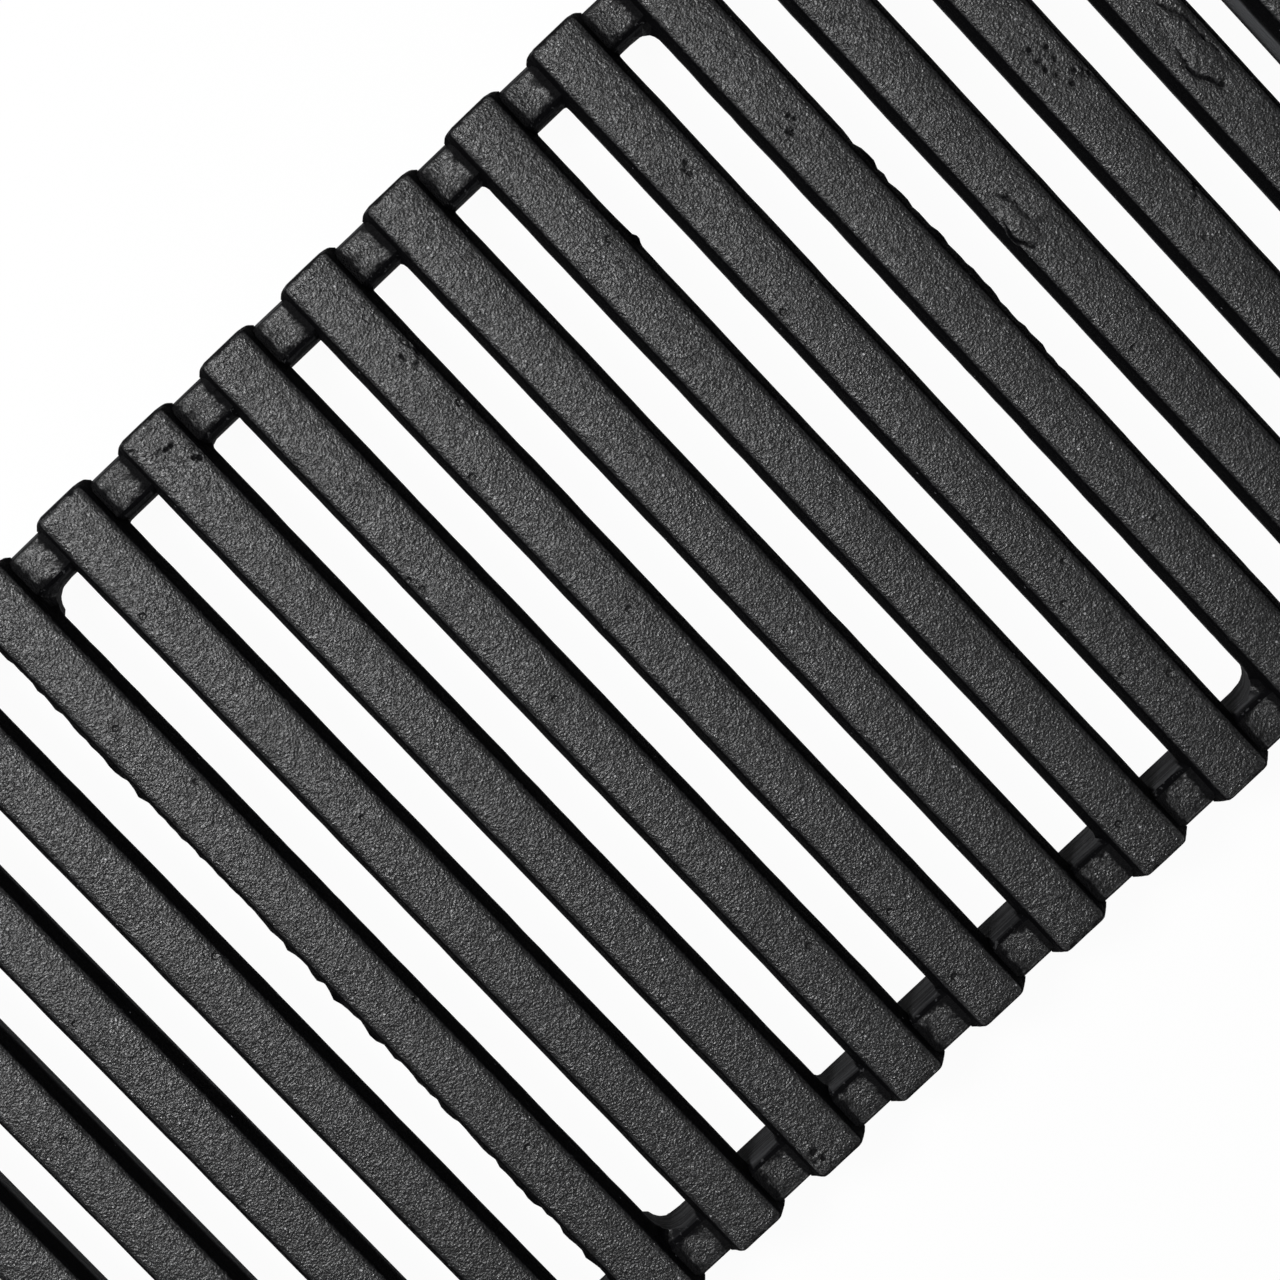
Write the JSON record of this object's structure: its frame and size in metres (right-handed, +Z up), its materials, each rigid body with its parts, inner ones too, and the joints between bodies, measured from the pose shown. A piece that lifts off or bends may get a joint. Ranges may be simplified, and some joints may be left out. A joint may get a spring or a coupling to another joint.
{
  "type": "channel drain grate",
  "caption": "Long cast iron grate for a channel drain: parallel flared bars joined by two sunk side rails, with two stiffer upright-sided bars, in one casting.",
  "frame": {"origin": "centre of the underside, on the plane of the rails' seat", "axes": "+X along the channel, +Y across it, +Z up out of the walking surface"},
  "size_m": [0.5946, 0.1374, 0.0143],
  "materials": {
    "iron": "sand-cast grain, black coating worn to a low sheen"
  },
  "bodies": {
    "root": {"grate": "iron"}
  },
  "joints": []
}
